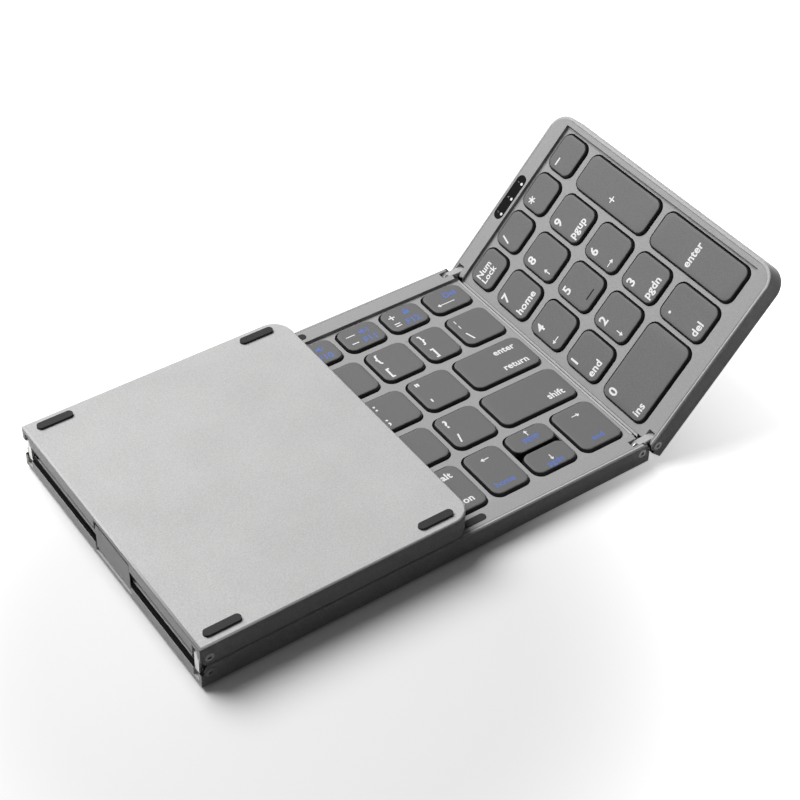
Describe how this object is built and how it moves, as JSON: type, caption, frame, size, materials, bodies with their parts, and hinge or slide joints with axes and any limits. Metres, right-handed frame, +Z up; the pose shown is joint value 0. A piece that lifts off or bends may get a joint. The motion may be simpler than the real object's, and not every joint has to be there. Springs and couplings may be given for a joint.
{
  "type": "folding keyboard",
  "caption": "Pocket keyboard of three flat key panels on double-pivot hinges, with the left panel folded over the middle one and the number pad standing part way up.",
  "frame": {"origin": "centre of the bounding box on the surface that the keyboard's feet stand on, in the half-folded rest pose", "axes": "+X from the folded left panel towards the number pad, along the row of panels; +Y from the typist's side to the back; +Z up"},
  "size_m": [0.2316, 0.1162, 0.0627],
  "materials": {
    "underside": "fine satin grain",
    "frame": "satin",
    "keys": "fine matt grain",
    "steel": "polished",
    "pins": "turned",
    "rubber": "matt",
    "board": "solder mask",
    "cell": "foil",
    "cable": "satin film",
    "window": "gloss"
  },
  "bodies": {
    "middle_panel": {"middle_base": "underside", "middle_frame": "frame", "middle_board": "board", "middle_feet": "rubber", "middle_screws": "pins", "middle_pins": "pins", "rim_bumpers": "rubber", "battery": "cell"},
    "left_panel": {"left_base": "underside", "left_frame": "frame", "left_board": "board", "left_feet": "rubber", "left_screws": "pins", "left_pins": "pins"},
    "number_pad": {"pad_base": "underside", "pad_frame": "frame", "pad_board": "board", "pad_feet": "rubber", "pad_screws": "pins", "pad_pins": "pins", "indicator_window": "window", "charging_socket": "steel"},
    "left_links": {"left_links": "steel", "left_cable": "cable"},
    "right_links": {"right_links": "steel", "right_cable": "cable"},
    "covered_keys": {"covered_keys": "keys"},
    "left_keys": {"left_keys": "keys"},
    "key_hyphen": {"key_hyphen": "keys"},
    "key_equals": {"key_equals": "keys"},
    "key_backspace": {"key_backspace": "keys"},
    "key_bracket_left": {"key_bracket_left": "keys"},
    "key_bracket_right": {"key_bracket_right": "keys"},
    "key_backslash": {"key_backslash": "keys"},
    "key_quote": {"key_quote": "keys"},
    "key_enter": {"key_enter": "keys"},
    "key_slash": {"key_slash": "keys"},
    "key_shift": {"key_shift": "keys"},
    "key_left": {"key_left": "keys"},
    "key_down": {"key_down": "keys"},
    "key_up": {"key_up": "keys"},
    "key_right": {"key_right": "keys"},
    "pad_num_lock": {"pad_num_lock": "keys"},
    "pad_divide": {"pad_divide": "keys"},
    "pad_multiply": {"pad_multiply": "keys"},
    "pad_minus": {"pad_minus": "keys"},
    "pad_7": {"pad_7": "keys"},
    "pad_8": {"pad_8": "keys"},
    "pad_9": {"pad_9": "keys"},
    "pad_4": {"pad_4": "keys"},
    "pad_5": {"pad_5": "keys"},
    "pad_6": {"pad_6": "keys"},
    "pad_1": {"pad_1": "keys"},
    "pad_2": {"pad_2": "keys"},
    "pad_3": {"pad_3": "keys"},
    "pad_0": {"pad_0": "keys"},
    "pad_point": {"pad_point": "keys"},
    "pad_plus": {"pad_plus": "keys"},
    "pad_enter": {"pad_enter": "keys"}
  },
  "joints": [
    {"name": "left_link_fold", "type": "hinge", "parent": "middle_panel", "child": "left_links", "pos_m": [-0.11252, 0, 0.00645], "axis": [0, -1, 0], "range_deg": [0, 90]},
    {"name": "left_panel_fold", "type": "hinge", "parent": "left_links", "child": "left_panel", "pos_m": [-0.11252, 0, 0.01345], "axis": [0, -1, 0], "range_deg": [0, 90]},
    {"name": "right_link_fold", "type": "hinge", "parent": "middle_panel", "child": "right_links", "pos_m": [0.05828, 0, 0.00645], "axis": [0, -1, 0], "range_deg": [0, 90]},
    {"name": "number_pad_fold", "type": "hinge", "parent": "right_links", "child": "number_pad", "pos_m": [0.06528, 0, 0.00645], "axis": [0, -1, 0], "range_deg": [-49.4, 40.6]},
    {"name": "press_key_hyphen", "type": "slide", "parent": "middle_panel", "child": "key_hyphen", "axis": [0, 0, -1], "range_m": [0, 0.0015], "stiffness_N_per_m": 350},
    {"name": "press_key_equals", "type": "slide", "parent": "middle_panel", "child": "key_equals", "axis": [0, 0, -1], "range_m": [0, 0.0015], "stiffness_N_per_m": 350},
    {"name": "press_key_backspace", "type": "slide", "parent": "middle_panel", "child": "key_backspace", "axis": [0, 0, -1], "range_m": [0, 0.0015], "stiffness_N_per_m": 350},
    {"name": "press_key_bracket_left", "type": "slide", "parent": "middle_panel", "child": "key_bracket_left", "axis": [0, 0, -1], "range_m": [0, 0.0015], "stiffness_N_per_m": 350},
    {"name": "press_key_bracket_right", "type": "slide", "parent": "middle_panel", "child": "key_bracket_right", "axis": [0, 0, -1], "range_m": [0, 0.0015], "stiffness_N_per_m": 350},
    {"name": "press_key_backslash", "type": "slide", "parent": "middle_panel", "child": "key_backslash", "axis": [0, 0, -1], "range_m": [0, 0.0015], "stiffness_N_per_m": 350},
    {"name": "press_key_quote", "type": "slide", "parent": "middle_panel", "child": "key_quote", "axis": [0, 0, -1], "range_m": [0, 0.0015], "stiffness_N_per_m": 350},
    {"name": "press_key_enter", "type": "slide", "parent": "middle_panel", "child": "key_enter", "axis": [0, 0, -1], "range_m": [0, 0.0015], "stiffness_N_per_m": 350},
    {"name": "press_key_slash", "type": "slide", "parent": "middle_panel", "child": "key_slash", "axis": [0, 0, -1], "range_m": [0, 0.0015], "stiffness_N_per_m": 350},
    {"name": "press_key_shift", "type": "slide", "parent": "middle_panel", "child": "key_shift", "axis": [0, 0, -1], "range_m": [0, 0.0015], "stiffness_N_per_m": 350},
    {"name": "press_key_left", "type": "slide", "parent": "middle_panel", "child": "key_left", "axis": [0, 0, -1], "range_m": [0, 0.0015], "stiffness_N_per_m": 350},
    {"name": "press_key_down", "type": "slide", "parent": "middle_panel", "child": "key_down", "axis": [0, 0, -1], "range_m": [0, 0.0015], "stiffness_N_per_m": 350},
    {"name": "press_key_up", "type": "slide", "parent": "middle_panel", "child": "key_up", "axis": [0, 0, -1], "range_m": [0, 0.0015], "stiffness_N_per_m": 350},
    {"name": "press_key_right", "type": "slide", "parent": "middle_panel", "child": "key_right", "axis": [0, 0, -1], "range_m": [0, 0.0015], "stiffness_N_per_m": 350},
    {"name": "press_covered_keys", "type": "slide", "parent": "middle_panel", "child": "covered_keys", "axis": [0, 0, -1], "range_m": [0, 0.0015], "stiffness_N_per_m": 350},
    {"name": "press_pad_num_lock", "type": "slide", "parent": "number_pad", "child": "pad_num_lock", "axis": [0.7593, 0, -0.6508], "range_m": [0, 0.0015], "stiffness_N_per_m": 350},
    {"name": "press_pad_divide", "type": "slide", "parent": "number_pad", "child": "pad_divide", "axis": [0.7593, 0, -0.6508], "range_m": [0, 0.0015], "stiffness_N_per_m": 350},
    {"name": "press_pad_multiply", "type": "slide", "parent": "number_pad", "child": "pad_multiply", "axis": [0.7593, 0, -0.6508], "range_m": [0, 0.0015], "stiffness_N_per_m": 350},
    {"name": "press_pad_minus", "type": "slide", "parent": "number_pad", "child": "pad_minus", "axis": [0.7593, 0, -0.6508], "range_m": [0, 0.0015], "stiffness_N_per_m": 350},
    {"name": "press_pad_7", "type": "slide", "parent": "number_pad", "child": "pad_7", "axis": [0.7593, 0, -0.6508], "range_m": [0, 0.0015], "stiffness_N_per_m": 350},
    {"name": "press_pad_8", "type": "slide", "parent": "number_pad", "child": "pad_8", "axis": [0.7593, 0, -0.6508], "range_m": [0, 0.0015], "stiffness_N_per_m": 350},
    {"name": "press_pad_9", "type": "slide", "parent": "number_pad", "child": "pad_9", "axis": [0.7593, 0, -0.6508], "range_m": [0, 0.0015], "stiffness_N_per_m": 350},
    {"name": "press_pad_4", "type": "slide", "parent": "number_pad", "child": "pad_4", "axis": [0.7593, 0, -0.6508], "range_m": [0, 0.0015], "stiffness_N_per_m": 350},
    {"name": "press_pad_5", "type": "slide", "parent": "number_pad", "child": "pad_5", "axis": [0.7593, 0, -0.6508], "range_m": [0, 0.0015], "stiffness_N_per_m": 350},
    {"name": "press_pad_6", "type": "slide", "parent": "number_pad", "child": "pad_6", "axis": [0.7593, 0, -0.6508], "range_m": [0, 0.0015], "stiffness_N_per_m": 350},
    {"name": "press_pad_1", "type": "slide", "parent": "number_pad", "child": "pad_1", "axis": [0.7593, 0, -0.6508], "range_m": [0, 0.0015], "stiffness_N_per_m": 350},
    {"name": "press_pad_2", "type": "slide", "parent": "number_pad", "child": "pad_2", "axis": [0.7593, 0, -0.6508], "range_m": [0, 0.0015], "stiffness_N_per_m": 350},
    {"name": "press_pad_3", "type": "slide", "parent": "number_pad", "child": "pad_3", "axis": [0.7593, 0, -0.6508], "range_m": [0, 0.0015], "stiffness_N_per_m": 350},
    {"name": "press_pad_0", "type": "slide", "parent": "number_pad", "child": "pad_0", "axis": [0.7593, 0, -0.6508], "range_m": [0, 0.0015], "stiffness_N_per_m": 350},
    {"name": "press_pad_point", "type": "slide", "parent": "number_pad", "child": "pad_point", "axis": [0.7593, 0, -0.6508], "range_m": [0, 0.0015], "stiffness_N_per_m": 350},
    {"name": "press_pad_plus", "type": "slide", "parent": "number_pad", "child": "pad_plus", "axis": [0.7593, 0, -0.6508], "range_m": [0, 0.0015], "stiffness_N_per_m": 350},
    {"name": "press_pad_enter", "type": "slide", "parent": "number_pad", "child": "pad_enter", "axis": [0.7593, 0, -0.6508], "range_m": [0, 0.0015], "stiffness_N_per_m": 350},
    {"name": "press_left_keys", "type": "slide", "parent": "left_panel", "child": "left_keys", "axis": [0, 0, 1], "range_m": [0, 0.0015], "stiffness_N_per_m": 350}
  ]
}
